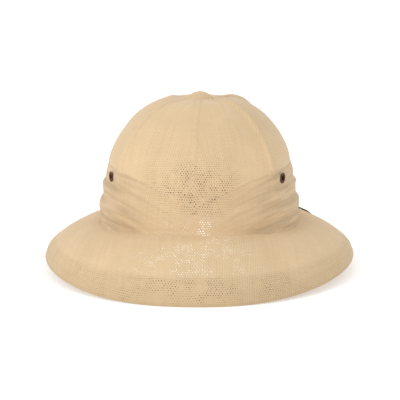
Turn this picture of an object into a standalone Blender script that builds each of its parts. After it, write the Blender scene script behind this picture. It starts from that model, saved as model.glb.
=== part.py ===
"""Woven straw safari hat: crown of sewn panels, sloping brim, pleated band, button, eyelets and chin strap.

The hat stands on its rim at z = 0 with its front towards -Y and its width along X.
An angle round the hat starts at the front and grows towards the wearer's left, which is +X.
"""

from collections import namedtuple
from math import asin, copysign, cos, exp, log, pi, radians, sin

import bmesh
import bpy
from mathutils import Vector

# Rim and brim
RIM_WIDTH = 0.286
RIM_LENGTH = 0.336
RIM_SQUARENESS = 2.08
RIM_DIP = 0.0115
RIM_REST_ARC = radians(12)
BRIM_WALL = 0.002
HEM_WALL = 0.0032
HEM_STAND = 0.0025
COLLAR_HEIGHT = 0.009

# Crown
CROWN_WIDTH = 0.177
CROWN_LENGTH = 0.220
CROWN_SQUARENESS = 2.05
CROWN_WALL = 0.002
CROWN_TOP = 0.1556
SEAT_SIDE_HEIGHT = 0.0425
SEAT_FRONT_RISE = 0.0065
PANEL_FLATNESS = 0.20
FRONT_TUCK = 0.0018
TUCK_ARC = radians(5)

# Pleated band
BAND_TOP = 0.0978
BAND_FRONT_DIP = 0.0275
BAND_DIP_ARC = radians(54)
PLEAT_COUNT = 4
PLEAT_PITCH = 0.0150
PLEAT_DEPTH = 0.0019
PLEAT_LAP = 0.0011
BAND_LAYER = 0.0011
PLEAT_FADE = 0.0015
ROW_LEAST = 0.00008

# Button on the apex
BUTTON_WIDTH = 0.0270
BUTTON_HEIGHT = 0.0055
BUTTON_EDGE = 0.0012

# Ventilation eyelets
EYELET_ANGLE = radians(58.5)
EYELET_DROP = 0.0074
EYELET_FLANGE = 0.0105
EYELET_HOLE = 0.0052
EYELET_BARREL_WALL = 0.0005
EYELET_PROUD = 0.0009
EYELET_LIP = 0.0080

# Chin strap
STRAP_WIDTH = 0.008
STRAP_THICKNESS = 0.0012
STRAP_LIFT = 0.0005
STRAP_LIFT_UNDER = 0.0010

# Fits
GAP = 0.0003
BAND_GAP = 0.0004

# Facets
SEGMENTS = 60
EYELET_SEGMENTS = 14
BUTTON_SEGMENTS = 24
STRAP_UNDER_STEPS = 10
STRAP_OVER_STEPS = 22
BAND_LINING_ROWS = 7

# The panels of the crown meet at these angles
SEAM_ANGLES = [radians(degrees) for degrees in (0, 48, 132, 180, 228, 312, 360)]

# One row of the brim: share of the way out to the rim, share of the way down to it
BrimRow = namedtuple("BrimRow", "out drop")
BRIM_ROWS = [
    BrimRow(0.00, 0.000),
    BrimRow(0.10, 0.010),
    BrimRow(0.26, 0.062),
    BrimRow(0.45, 0.185),
    BrimRow(0.62, 0.335),
    BrimRow(0.77, 0.493),
    BrimRow(0.88, 0.653),
    BrimRow(0.95, 0.790),
]
BRIM_RUN = [*BRIM_ROWS, BrimRow(1, 1)]

# One row of the crown: share of its height above the seat, share of its half width,
# how far the panels are flattened, and how deep the tuck in the front seam is
CrownRow = namedtuple("CrownRow", "rise reach panel tuck")
CROWN_ROWS = [
    CrownRow(0.000, 1.000, 0.0, 0.0),
    CrownRow(0.115, 1.000, 0.0, 0.0),
    CrownRow(0.240, 0.998, 0.4, 1.0),
    CrownRow(0.437, 0.997, 0.9, 1.0),
    CrownRow(0.534, 0.986, 1.0, 0.5),
    CrownRow(0.631, 0.939, 1.0, 0.1),
    CrownRow(0.728, 0.865, 1.0, 0.0),
    CrownRow(0.825, 0.760, 1.0, 0.0),
    CrownRow(0.897, 0.650, 1.0, 0.0),
    CrownRow(0.950, 0.540, 1.0, 0.0),
    CrownRow(0.983, 0.430, 0.9, 0.0),
    CrownRow(0.991, 0.290, 0.6, 0.0),
    CrownRow(0.997, 0.130, 0.2, 0.0),
]

# One row of a pleat, from its foot up: share of its height, share of its depth
PleatRow = namedtuple("PleatRow", "rise proud")
PLEAT_ROWS = [
    PleatRow(0.02, 0.25),
    PleatRow(0.50, 0.72),
    PleatRow(0.86, 1.00),
    PleatRow(0.98, 0.80),
]

# Half of the chin strap's route: angle from the front, share of the way out to the rim.
# It starts inside the crown, runs out under the brim, turns round the rim and comes back over the brim
# to the middle of the back.
StrapPoint = namedtuple("StrapPoint", "degrees out")
STRAP_UNDER = [
    StrapPoint(99, 0.03),
    StrapPoint(103, 0.20),
    StrapPoint(111, 0.40),
    StrapPoint(120, 0.58),
    StrapPoint(126, 0.74),
    StrapPoint(128, 0.86),
]
STRAP_OVER = [
    StrapPoint(128.5, 0.98),
    StrapPoint(128, 0.945),
    StrapPoint(126.8, 0.82),
    StrapPoint(124.5, 0.66),
    StrapPoint(122, 0.50),
    StrapPoint(120.5, 0.38),
    StrapPoint(122.5, 0.30),
    StrapPoint(131, 0.26),
    StrapPoint(143, 0.25),
    StrapPoint(155, 0.25),
    StrapPoint(167, 0.25),
    StrapPoint(180, 0.25),
]

# Colours are linear red, green and blue
Finish = namedtuple("Finish", "name colour roughness metallic")
STRAW = Finish("straw", (0.72, 0.53, 0.32), 0.75, 0.0)
BAND_STRAW = Finish("band_straw", (0.66, 0.48, 0.28), 0.80, 0.0)
BRONZE = Finish("aged_bronze", (0.10, 0.07, 0.045), 0.40, 0.9)
DARK_LEATHER = Finish("dark_leather", (0.045, 0.033, 0.025), 0.55, 0.0)


def mix(first, second, share):
    return first + (second - first) * share


def ease(share):
    """Smooth step from 0 to 1."""
    share = min(max(share, 0.0), 1.0)
    return share * share * (3 - 2 * share)


def read_table(rows, key, column, place):
    """Value of a column where the key column has the given place, straight between rows."""
    for low, high in zip(rows, rows[1:]):
        if place <= getattr(high, key):
            share = (place - getattr(low, key)) / (getattr(high, key) - getattr(low, key))
            return mix(getattr(low, column), getattr(high, column), share)
    return getattr(rows[-1], column)


def off_axis(angle):
    """Angle from the nearer of the front and the back, 0 to a quarter turn."""
    return asin(min(abs(sin(angle)), 1.0))


def oval(angle, half_width, half_length, squareness):
    bend = 2 / squareness
    x = half_width * copysign(abs(sin(angle)) ** bend, sin(angle))
    y = half_length * copysign(abs(cos(angle)) ** bend, cos(angle))
    return Vector((x, -y, 0))


def outward(angle):
    """Level direction square to the crown."""
    return Vector((CROWN_LENGTH * sin(angle), -CROWN_WIDTH * cos(angle), 0)).normalized()


def angles_round():
    return [2 * pi * step / SEGMENTS for step in range(SEGMENTS)]


def seat_height(angle):
    """Height of the line where crown and brim meet."""
    return SEAT_SIDE_HEIGHT + SEAT_FRONT_RISE * cos(angle) ** 2


def rim_height(angle):
    """The rim rests on level arcs in front and behind, and rises towards the sides."""
    return RIM_DIP * ease((off_axis(angle) - RIM_REST_ARC) / (pi / 2 - RIM_REST_ARC))


def seat_oval(angle, inset=0.0):
    return oval(angle, CROWN_WIDTH / 2 - inset, CROWN_LENGTH / 2 - inset, CROWN_SQUARENESS)


def brim_point(angle, out, drop):
    rim = oval(angle, RIM_WIDTH / 2, RIM_LENGTH / 2, RIM_SQUARENESS)
    point = seat_oval(angle).lerp(rim, out)
    point.z = mix(seat_height(angle), rim_height(angle) + HEM_STAND, drop)
    return point


def panel_factor(angle):
    """Share of the full reach left where a flat panel cuts the corner between its two seams."""
    for low, high in zip(SEAM_ANGLES, SEAM_ANGLES[1:]):
        if angle <= high:
            share = (angle - low) / (high - low)
            sagitta = 1 - cos((high - low) / 2)
            return 1 - PANEL_FLATNESS * sagitta * 4 * share * (1 - share)
    return 1.0


def crown_section(angle, rise, reach, panel, tuck):
    point = seat_oval(angle) * reach * mix(1.0, panel_factor(angle % (2 * pi)), panel)
    depth = FRONT_TUCK * tuck * exp(-(off_axis(angle) / TUCK_ARC) ** 2)
    point -= outward(angle) * depth
    point.z = mix(seat_height(angle), CROWN_TOP, rise)
    return point


def crown_at(angle, height):
    """Point of the crown's outer face at a height above the floor."""
    seat = seat_height(angle)
    rise = (height - seat) / (CROWN_TOP - seat)
    columns = [read_table(CROWN_ROWS, "rise", column, rise) for column in ("reach", "panel", "tuck")]
    return crown_section(angle, rise, *columns)


def band_top(angle):
    """The band's top edge runs level round the sides and dips in a V to the front and to the back."""
    dip = max(1 - off_axis(angle) / BAND_DIP_ARC, 0.0) ** 1.6
    return BAND_TOP - BAND_FRONT_DIP * dip


def band_foot(angle):
    return seat_height(angle) + BAND_GAP


def band_rows(angle):
    """Height and offset from the crown of each row of the band's outer face, from the foot up."""
    foot = band_foot(angle)
    rows = []
    for pleat in reversed(range(PLEAT_COUNT)):
        fold = band_top(angle) - pleat * PLEAT_PITCH
        shown = 1 - exp(-max(fold - foot, 0.0) / PLEAT_FADE / 3)
        for row in PLEAT_ROWS:
            above = fold - (1 - row.rise) * PLEAT_PITCH - foot
            height = foot + PLEAT_FADE * log(1 + exp(above / PLEAT_FADE)) + ROW_LEAST * (len(rows) + 1)
            offset = BAND_LAYER + PLEAT_LAP * pleat + PLEAT_DEPTH * row.proud * shown
            rows.append((height, offset))
    return rows


def new_collection(name):
    collection = bpy.data.collections.new(name)
    bpy.context.scene.collection.children.link(collection)
    return collection


def new_material(finish):
    material = bpy.data.materials.new(finish.name)
    material.use_nodes = True
    shader = material.node_tree.nodes["Principled BSDF"]
    shader.inputs["Base Color"].default_value = (*finish.colour, 1.0)
    shader.inputs["Roughness"].default_value = finish.roughness
    shader.inputs["Metallic"].default_value = finish.metallic
    material.diffuse_color = (*finish.colour, 1.0)
    return material


def add_object(name, mesh, material, collection):
    item = bpy.data.objects.new(name, mesh)
    mesh.materials.append(material)
    mesh.shade_smooth()
    mesh.set_sharp_from_angle(angle=radians(40))
    collection.objects.link(item)
    return item


def loft(name, rings, closed_section=False, closed_ring=True, apex=None):
    """Skin a mesh over rings of points; the faces look away from a ring that runs anticlockwise going up."""
    shape = bmesh.new()
    loops = [[shape.verts.new(point) for point in ring] for ring in rings]
    pairs = list(zip(loops, loops[1:]))
    if closed_section:
        pairs.append((loops[-1], loops[0]))
    count = len(rings[0])
    steps = count if closed_ring else count - 1
    for lower, upper in pairs:
        for step in range(steps):
            after = (step + 1) % count
            shape.faces.new((lower[step], lower[after], upper[after], upper[step]))
    if apex is not None:
        tip = shape.verts.new(apex)
        for step in range(count):
            shape.faces.new((loops[-1][step], loops[-1][(step + 1) % count], tip))
    mesh = bpy.data.meshes.new(name)
    shape.to_mesh(mesh)
    shape.free()
    return mesh


def give_wall(item, thickness, group=""):
    wall = item.modifiers.new("wall", "SOLIDIFY")
    wall.thickness = thickness
    wall.offset = -1
    wall.use_even_offset = True
    wall.vertex_group = group


def bore_out(item, cutters):
    for cutter in cutters:
        cut = item.modifiers.new("bore " + cutter.name, "BOOLEAN")
        cut.operation = "DIFFERENCE"
        cut.solver = "EXACT"
        cut.object = cutter


def turned(name, profile, segments, material, collection):
    """Turn a profile of radius and height pairs about the object's own Z axis."""
    mesh = bpy.data.meshes.new(name)
    points = [(radius, 0, height) for radius, height in profile]
    mesh.from_pydata(points, [(step, step + 1) for step in range(len(points) - 1)], [])
    item = bpy.data.objects.new(name, mesh)
    mesh.materials.append(material)
    screw = item.modifiers.new("turn", "SCREW")
    screw.axis = "Z"
    screw.steps = segments
    screw.render_steps = segments
    screw.use_merge_vertices = True
    screw.merge_threshold = 0.00001
    collection.objects.link(item)
    return item


def make_crown(material, collection, cutters):
    rings = [[crown_section(angle, *row) for angle in angles_round()] for row in CROWN_ROWS]
    for point in rings[0]:
        point.z += GAP
    mesh = loft("crown", rings, apex=(0, 0, CROWN_TOP))
    crown = add_object("crown", mesh, material, collection)
    give_wall(crown, CROWN_WALL)
    bore_out(crown, cutters)


def make_brim(material, collection):
    inset = CROWN_WALL + GAP
    collar_foot = [seat_oval(angle, inset) + Vector((0, 0, seat_height(angle))) for angle in angles_round()]
    collar_top = [point + Vector((0, 0, COLLAR_HEIGHT)) for point in collar_foot]
    slope = [[brim_point(angle, *row) for angle in angles_round()] for row in BRIM_ROWS]
    hem_top = [brim_point(angle, 1, 1) for angle in angles_round()]
    rim = [point - Vector((0, 0, HEM_STAND)) for point in hem_top]
    rings = [rim, hem_top, *reversed(slope), collar_foot, collar_top]
    brim = add_object("brim", loft("brim", rings), material, collection)
    thickness = brim.vertex_groups.new(name="thickness")
    hem_points = 3 * SEGMENTS
    thickness.add(range(hem_points), 1.0, "REPLACE")
    thickness.add(range(hem_points, len(brim.data.vertices)), BRIM_WALL / HEM_WALL, "REPLACE")
    give_wall(brim, HEM_WALL, thickness.name)


def make_band(material, collection, cutters):
    outer = []
    lining = []
    for angle in angles_round():
        rows = band_rows(angle)
        outer.append([crown_at(angle, height) + outward(angle) * offset for height, offset in rows])
        top = rows[-1][0]
        foot = band_foot(angle)
        heights = [mix(top, foot, row / (BAND_LINING_ROWS - 1)) for row in range(BAND_LINING_ROWS)]
        lining.append([crown_at(angle, height) + outward(angle) * BAND_GAP for height in heights])
    sections = [face + inner for face, inner in zip(outer, lining)]
    rings = list(map(list, zip(*sections)))
    band = add_object("puggaree", loft("puggaree", rings, closed_section=True), material, collection)
    bore_out(band, cutters)


def make_button(material, collection):
    half = BUTTON_WIDTH / 2
    flat = 0.25 * half
    dome = [(0, BUTTON_HEIGHT), (flat, 0.985 * BUTTON_HEIGHT)]
    for step in range(1, 6):
        lean = pi / 2 * step / 5
        radius = flat + (half - flat) * sin(lean)
        height = BUTTON_EDGE + (0.985 * BUTTON_HEIGHT - BUTTON_EDGE) * cos(lean)
        dome.append((radius, height))
    profile = dome + [(half - BUTTON_EDGE / 2, 0), (0, 0)]
    button = turned("top_button", profile, BUTTON_SEGMENTS, material, collection)
    button.location = (0, 0, CROWN_TOP + GAP)


def eyelet_places():
    """Name, centre on the crown's outer face and outward axis of each eyelet."""
    places = []
    for end, start in (("front", 0), ("rear", pi)):
        for side, sign in (("left", 1), ("right", -1)):
            if end == "rear":
                sign = -sign
            angle = (start + sign * EYELET_ANGLE) % (2 * pi)
            centre = crown_at(angle, band_top(angle) - EYELET_DROP)
            places.append((f"eyelet_{end}_{side}", centre, outward(angle), angle))
    return places


def eyelet_seat(centre, axis, angle):
    """How far out along its axis the eyelet's flange clears the pleat that it sits on."""
    span = EYELET_FLANGE / 2
    reaches = []
    for height, offset in band_rows(angle):
        point = crown_at(angle, height) + outward(angle) * offset
        if abs(point.z - centre.z) < span + PLEAT_PITCH * 0.1:
            reaches.append((point - centre).dot(axis))
    return max(reaches) + GAP


def make_bores(collection):
    """Cutting cylinders for the eyelets, longer than the walls they pass."""
    cutters = []
    for name, centre, axis, angle in eyelet_places():
        bpy.ops.mesh.primitive_cylinder_add(
            vertices=EYELET_SEGMENTS,
            radius=EYELET_HOLE / 2 + EYELET_BARREL_WALL + GAP,
            depth=6 * (CROWN_WALL + PLEAT_DEPTH),
            location=centre,
            rotation=axis.to_track_quat("Z", "Y").to_euler(),
        )
        cutter = bpy.context.object
        cutter.name = "bore_" + name
        cutter.hide_render = True
        cutter.display_type = "WIRE"
        for home in list(cutter.users_collection):
            home.objects.unlink(cutter)
        collection.objects.link(cutter)
        cutters.append(cutter)
    return cutters


def make_eyelets(material, collection):
    hole = EYELET_HOLE / 2
    barrel = hole + EYELET_BARREL_WALL
    flange = EYELET_FLANGE / 2
    lip = EYELET_LIP / 2
    for name, centre, axis, angle in eyelet_places():
        back = eyelet_seat(centre, axis, angle)
        inside = -CROWN_WALL - 2 * GAP - lip * lip / CROWN_WIDTH
        profile = [
            (hole, back),
            (hole + 0.3 * EYELET_PROUD, back + 0.8 * EYELET_PROUD),
            (mix(hole, flange, 0.35), back + EYELET_PROUD),
            (mix(hole, flange, 0.80), back + 0.8 * EYELET_PROUD),
            (flange, back + 0.3 * EYELET_PROUD),
            (flange, back),
            (barrel, back),
            (barrel, inside),
            (lip, inside),
            (lip, inside - EYELET_BARREL_WALL),
            (hole, inside - EYELET_BARREL_WALL),
            (hole, back),
        ]
        eyelet = turned(name, profile, EYELET_SEGMENTS, material, collection)
        eyelet.location = centre
        eyelet.rotation_euler = axis.to_track_quat("Z", "Y").to_euler()


def spline(share, before, start, end, after):
    """Smooth curve from start to end."""
    square = share * share
    cube = square * share
    return 0.5 * (
        2 * start
        + (end - before) * share
        + (2 * before - 5 * start + 4 * end - after) * square
        + (3 * start - before - 3 * end + after) * cube
    )


def smooth_route(route, steps):
    """Evenly spread points of a smooth curve through the route's own points."""
    line = []
    for step in range(steps + 1):
        place = step / steps * (len(route) - 1)
        index = min(int(place), len(route) - 2)
        ends = [route[min(max(index + shift, 0), len(route) - 1)] for shift in (-1, 0, 1, 2)]
        line.append([spline(place - index, *values) for values in zip(*ends)])
    return line


def on_brim(degrees, out):
    """Point of the brim's upper face, and the direction away from it."""
    around = radians(degrees)
    reach = 0.02
    places = [(around, out), (around, out + reach), (around, out - reach), (around + reach, out), (around - reach, out)]
    point, outer, inner, after, before = [
        brim_point(angle, share, read_table(BRIM_RUN, "out", "drop", min(share, 1))) for angle, share in places
    ]
    return point, (outer - inner).cross(after - before).normalized()


def strap_stations():
    """Point on the hat and offset from it for each step along half of the strap, from its sewn end."""
    stations = []
    start = radians(STRAP_UNDER[0].degrees)
    inward = -outward(start)
    inset = CROWN_WALL + GAP + BRIM_WALL
    for rise in (COLLAR_HEIGHT, 0.4 * COLLAR_HEIGHT):
        point = seat_oval(start, inset) + Vector((0, 0, seat_height(start) + rise))
        stations.append((point, inward * STRAP_LIFT_UNDER))
    down = Vector((0, 0, -1))
    corner = seat_oval(start, inset) + Vector((0, 0, seat_height(start) - BRIM_WALL))
    stations.append((corner, (inward + down) * STRAP_LIFT_UNDER))
    for place in smooth_route(STRAP_UNDER, STRAP_UNDER_STEPS):
        point, up = on_brim(*place)
        stations.append((point - up * BRIM_WALL, -up * STRAP_LIFT_UNDER))
    angle = radians(mix(STRAP_UNDER[-1].degrees, STRAP_OVER[0].degrees, 0.5))
    hem = brim_point(angle, 1, 1)
    rim = hem - Vector((0, 0, HEM_STAND))
    ahead = brim_point(angle + 0.05, 1, 1) - brim_point(angle - 0.05, 1, 1)
    away = Vector((ahead.y, -ahead.x, 0)).normalized()
    wall = away * HEM_WALL
    stations.append((hem - wall, -away * STRAP_LIFT_UNDER))
    stations.append((rim - wall, (down - away) * STRAP_LIFT_UNDER))
    stations.append((rim, (down + away) * STRAP_LIFT_UNDER))
    stations.append((hem, away * STRAP_LIFT_UNDER))
    for place in smooth_route(STRAP_OVER, STRAP_OVER_STEPS):
        point, up = on_brim(*place)
        stations.append((point, up * STRAP_LIFT))
    return stations


def make_strap(material, collection):
    half = strap_stations()
    flip = Vector((-1, 1, 1))
    whole = half + [(point * flip, lift * flip) for point, lift in reversed(half[:-1])]
    line = [point + lift for point, lift in whole]
    rings = [[], [], [], []]
    for index, (point, lift) in enumerate(whole):
        before = line[max(index - 1, 0)]
        after = line[min(index + 1, len(line) - 1)]
        up = lift.normalized()
        across = (after - before).cross(up).normalized() * STRAP_WIDTH / 2
        low = line[index]
        high = low + up * STRAP_THICKNESS
        corners = (low - across, low + across, high + across, high - across)
        for ring, corner in zip(rings, corners):
            ring.append(corner)
    mesh = loft("chin_strap", rings, closed_section=True, closed_ring=False)
    shape = bmesh.new()
    shape.from_mesh(mesh)
    bmesh.ops.holes_fill(shape, edges=shape.edges, sides=4)
    bmesh.ops.recalc_face_normals(shape, faces=shape.faces)
    shape.to_mesh(mesh)
    shape.free()
    add_object("chin_strap", mesh, material, collection)


def main():
    for item in list(bpy.data.objects):
        bpy.data.objects.remove(item)
    hat = new_collection("safari_hat")
    tools = new_collection("cutters")
    straw = new_material(STRAW)
    cutters = make_bores(tools)
    make_brim(straw, hat)
    make_crown(straw, hat, cutters)
    make_band(new_material(BAND_STRAW), hat, cutters)
    make_button(straw, hat)
    make_eyelets(new_material(BRONZE), hat)
    make_strap(new_material(DARK_LEATHER), hat)


main()
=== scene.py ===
# %% [markdown]
# # A woven straw safari hat
# The hat is six sewn parts: a crown of straw-cloth panels, a sloping brim with a turned hem, a pleated band,
# a covered button, four bronze eyelets and a thin chin strap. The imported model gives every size, and this
# lesson dresses it: finer surfaces in place of the plain solids, and a woven straw that is made of nodes.

# %% Read the frame
from collections import namedtuple
from math import asin, copysign, cos, exp, pi, radians, sin, tau

import bmesh
import bpy
import numpy as np
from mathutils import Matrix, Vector, noise
from mathutils.bvhtree import BVHTree


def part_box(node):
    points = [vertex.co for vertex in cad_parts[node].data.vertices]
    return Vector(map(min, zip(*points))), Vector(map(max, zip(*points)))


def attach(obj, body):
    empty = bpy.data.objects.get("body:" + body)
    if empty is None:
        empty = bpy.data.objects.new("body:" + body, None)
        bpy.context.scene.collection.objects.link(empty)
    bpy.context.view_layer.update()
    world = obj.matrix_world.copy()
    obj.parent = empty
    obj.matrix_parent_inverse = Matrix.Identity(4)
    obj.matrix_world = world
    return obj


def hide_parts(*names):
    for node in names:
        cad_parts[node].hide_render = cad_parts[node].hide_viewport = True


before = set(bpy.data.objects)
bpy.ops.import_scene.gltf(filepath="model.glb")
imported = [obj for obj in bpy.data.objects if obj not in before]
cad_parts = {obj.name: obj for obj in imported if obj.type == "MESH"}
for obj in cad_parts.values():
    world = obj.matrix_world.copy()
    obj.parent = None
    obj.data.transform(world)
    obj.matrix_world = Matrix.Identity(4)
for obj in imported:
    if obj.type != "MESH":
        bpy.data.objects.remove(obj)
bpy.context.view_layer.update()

print("nodes:", ", ".join(sorted(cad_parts)))

# %% [markdown]
# ## The view
# The photograph was taken from a little over a metre away, ten degrees above the table and almost straight
# from the front. A long lens that far away keeps the brim's ends from growing towards the camera. The camera
# could be set by eye, but a distance, two angles and a width are easier to correct.

# %% Camera
VIEW_DISTANCE = 1.25
VIEW_HEIGHT = 0.0597
VIEW_AROUND = radians(3.0)
VIEW_ABOVE = radians(10.05)
LENS = 120.6
SENSOR = 36.0

aim = Vector((0, 0, VIEW_HEIGHT))
towards = Vector((sin(VIEW_AROUND) * cos(VIEW_ABOVE), -cos(VIEW_AROUND) * cos(VIEW_ABOVE), sin(VIEW_ABOVE)))
camera_data = bpy.data.cameras.new("camera")
camera_data.lens = LENS
camera_data.sensor_width = SENSOR
camera_data.sensor_fit = "HORIZONTAL"
camera = bpy.data.objects.new("camera", camera_data)
bpy.context.scene.collection.objects.link(camera)
camera.location = aim + towards * VIEW_DISTANCE
camera.rotation_euler = towards.to_track_quat("Z", "Y").to_euler()
bpy.context.scene.camera = camera
print("camera at", [round(value, 3) for value in camera.location])

# %% [markdown]
# ## The sizes of the hat
# The solids carry the main sizes, so the width and the length of the brim and the crown are read from their
# boxes. The rest are the pattern maker's sizes: how the seat of the crown rises to the front, how far the rim
# dips, how thick the cloth is and where the panels meet.

# %% Sizes
brim_low, brim_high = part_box("brim")
crown_low, crown_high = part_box("crown")
RIM_WIDTH = brim_high[0] - brim_low[0]
RIM_LENGTH = brim_high[1] - brim_low[1]
CROWN_WIDTH = crown_high[0] - crown_low[0]
CROWN_LENGTH = crown_high[1] - crown_low[1]
CROWN_TOP = crown_high[2]
GAP = 0.0003
SEAT_SIDE_HEIGHT = crown_low[2] - GAP

RIM_SQUARENESS = 2.08
RIM_DIP = 0.0115
RIM_REST_ARC = radians(12)
HEM_STAND = 0.0025
BRIM_WALL = 0.002
COLLAR_HEIGHT = 0.009
CROWN_SQUARENESS = 2.05
CROWN_WALL = 0.002
SEAT_FRONT_RISE = 0.0065
PANEL_FLATNESS = 0.20
SEAM_DEGREES = (0, 48, 132, 180, 228, 312, 360)
SEAM_ANGLES = [radians(degrees) for degrees in SEAM_DEGREES]
print(f"brim {RIM_WIDTH * 1000:.0f} by {RIM_LENGTH * 1000:.0f} mm")
print(f"crown {CROWN_WIDTH * 1000:.0f} by {CROWN_LENGTH * 1000:.0f} mm")

# %% [markdown]
# ## Ovals
# Every level cut through the hat is an oval, a little squarer than an ellipse. An angle round the hat starts
# at the front and grows to the wearer's left. Two helpers give a point on an oval and the level direction
# square to the crown, and everything that follows is placed with them.


# %% Helpers for ovals
def mix(first, second, share):
    return first + (second - first) * share


def ease(share):
    """Smooth step from 0 to 1."""
    share = min(max(share, 0.0), 1.0)
    return share * share * (3 - 2 * share)


def bell(value, width, power=2):
    """1 where the value is 0, falling off smoothly beyond a width."""
    return exp(-((value / width) ** power))


def off_axis(angle):
    """Angle from the nearer of the front and the back."""
    return asin(min(abs(sin(angle)), 1.0))


def from_front(angle):
    """Angle from the front, 0 to half a turn."""
    turn = angle % tau
    return min(turn, tau - turn)


def oval(angle, half_width, half_length, squareness):
    bend = 2 / squareness
    x = half_width * copysign(abs(sin(angle)) ** bend, sin(angle))
    y = half_length * copysign(abs(cos(angle)) ** bend, cos(angle))
    return Vector((x, -y, 0))


def outward(angle):
    return Vector((CROWN_LENGTH * sin(angle), -CROWN_WIDTH * cos(angle), 0)).normalized()


def seat_height(angle):
    """Height of the line where crown and brim meet."""
    return SEAT_SIDE_HEIGHT + SEAT_FRONT_RISE * cos(angle) ** 2


def seat_oval(angle, inset=0.0):
    return oval(angle, CROWN_WIDTH / 2 - inset, CROWN_LENGTH / 2 - inset, CROWN_SQUARENESS)


def rim_oval(angle):
    return oval(angle, RIM_WIDTH / 2, RIM_LENGTH / 2, RIM_SQUARENESS)


def rim_height(angle):
    return RIM_DIP * ease((off_axis(angle) - RIM_REST_ARC) / (pi / 2 - RIM_REST_ARC))


# %% [markdown]
# ## Smooth tables
# A profile is kept as a short table of rows. Straight lines between the rows would show as
# facets, so a curve is laid through them: six or eight places between each two rows are enough to look round.


# %% Smooth tables
def spline(share, before, start, end, after):
    """Curve from start to end that also heeds their neighbours."""
    square = share * share
    cube = square * share
    return 0.5 * (
        2 * start
        + (end - before) * share
        + (2 * before - 5 * start + 4 * end - after) * square
        + (3 * start - before - 3 * end + after) * cube
    )


def smooth_rows(rows, steps):
    """The rows of a table with steps places between each two of them, as an array."""
    dense = []
    last = len(rows) - 1
    for step in range(last * steps + 1):
        place = step / steps
        index = min(int(place), last - 1)
        ends = [rows[min(max(index + shift, 0), last)] for shift in (-1, 0, 1, 2)]
        dense.append([spline(place - index, *column) for column in zip(*ends)])
    return np.array(dense)


BrimRow = namedtuple("BrimRow", "out drop")
BRIM_ROWS = [
    BrimRow(0.00, 0.000),
    BrimRow(0.10, 0.010),
    BrimRow(0.26, 0.062),
    BrimRow(0.45, 0.185),
    BrimRow(0.62, 0.335),
    BrimRow(0.77, 0.493),
    BrimRow(0.88, 0.653),
    BrimRow(0.95, 0.790),
    BrimRow(0.992, 0.98),
    BrimRow(0.990, 1.03),
]
BRIM_CURVE = smooth_rows(BRIM_ROWS, 6)

CrownRow = namedtuple("CrownRow", "rise reach panel tuck")
CROWN_ROWS = [
    CrownRow(0.000, 1.000, 0.0, 0.0),
    CrownRow(0.115, 1.000, 0.0, 0.0),
    CrownRow(0.240, 0.998, 0.4, 1.0),
    CrownRow(0.437, 0.997, 0.9, 1.0),
    CrownRow(0.534, 0.986, 1.0, 0.5),
    CrownRow(0.631, 0.939, 1.0, 0.1),
    CrownRow(0.728, 0.865, 1.0, 0.0),
    CrownRow(0.825, 0.760, 1.0, 0.0),
    CrownRow(0.897, 0.650, 1.0, 0.0),
    CrownRow(0.950, 0.540, 1.0, 0.0),
    CrownRow(0.983, 0.430, 0.9, 0.0),
    CrownRow(0.991, 0.290, 0.6, 0.0),
    CrownRow(0.997, 0.130, 0.2, 0.0),
    CrownRow(1.000, 0.030, 0.0, 0.0),
]
CROWN_CURVE = smooth_rows(CROWN_ROWS, 8)
print("profile places: brim", len(BRIM_CURVE), "crown", len(CROWN_CURVE))

# %% [markdown]
# ## The surface of the brim and of the crown
# The brim runs from the seat oval out to the rim oval. The crown rises from the same seat. Its six panels are
# cut flatter than the oval, so that each seam stands out as a soft corner, and the front seam is drawn in
# low down, where the band pulls on it.

# %% Brim and crown surfaces
FRONT_TUCK = 0.0022
TUCK_ARC = radians(4.5)
NEAR = 0.01


def brim_point(angle, out, drop):
    point = seat_oval(angle).lerp(rim_oval(angle), out)
    point.z = mix(seat_height(angle), rim_height(angle) + HEM_STAND, drop)
    return point


def on_brim(angle, out):
    """Point of the brim's upper face and the direction away from it."""
    near = []
    for along, across in ((0, 0), (0, 1), (0, -1), (1, 0), (-1, 0)):
        share = out + across * NEAR
        drop = float(np.interp(share, BRIM_CURVE[:, 0], BRIM_CURVE[:, 1]))
        near.append(brim_point(angle + along * NEAR, share, drop))
    point, outer, inner, after, before = near
    return point, (outer - inner).cross(after - before).normalized()


def panel_factor(angle):
    """Share of the full reach left where a flat panel cuts the corner between its two seams."""
    for low, high in zip(SEAM_ANGLES, SEAM_ANGLES[1:]):
        if angle <= high:
            share = (angle - low) / (high - low)
            return 1 - PANEL_FLATNESS * (1 - cos((high - low) / 2)) * 4 * share * (1 - share)
    return 1.0


def crown_section(angle, rise, reach, panel, tuck):
    point = seat_oval(angle) * reach * mix(1.0, panel_factor(angle % tau), panel)
    point -= outward(angle) * FRONT_TUCK * tuck * bell(off_axis(angle), TUCK_ARC)
    point.z = mix(seat_height(angle), CROWN_TOP, rise)
    return point


def crown_at(angle, height):
    """Point of the crown's outer face at a height above the floor."""
    seat = seat_height(angle)
    rise = (height - seat) / (CROWN_TOP - seat)
    columns = [float(np.interp(rise, CROWN_CURVE[:, 0], CROWN_CURVE[:, index])) for index in (1, 2, 3)]
    return crown_section(angle, rise, *columns)


# %% [markdown]
# ## The line of the band
# The band's top edge runs level round the sides and dips in a V to the front and to the back. The crown needs
# this line too: its seams and dents fade out under the band.

# %% The band's top edge
BAND_TOP = 0.0978
BAND_FRONT_DIP = 0.0275
BAND_DIP_ARC = radians(54)
BAND_GAP = 0.0004
FOOT_SINK = 0.0005


def band_top(angle):
    return BAND_TOP - BAND_FRONT_DIP * max(1 - off_axis(angle) / BAND_DIP_ARC, 0.0) ** 1.6


def band_foot(angle):
    """The band's foot, sunk a little so that it closes on the brim."""
    return seat_height(angle) - FOOT_SINK


print(f"band top: {band_top(0) * 1000:.1f} mm in front, {band_top(pi / 2) * 1000:.1f} mm at the side")

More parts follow.
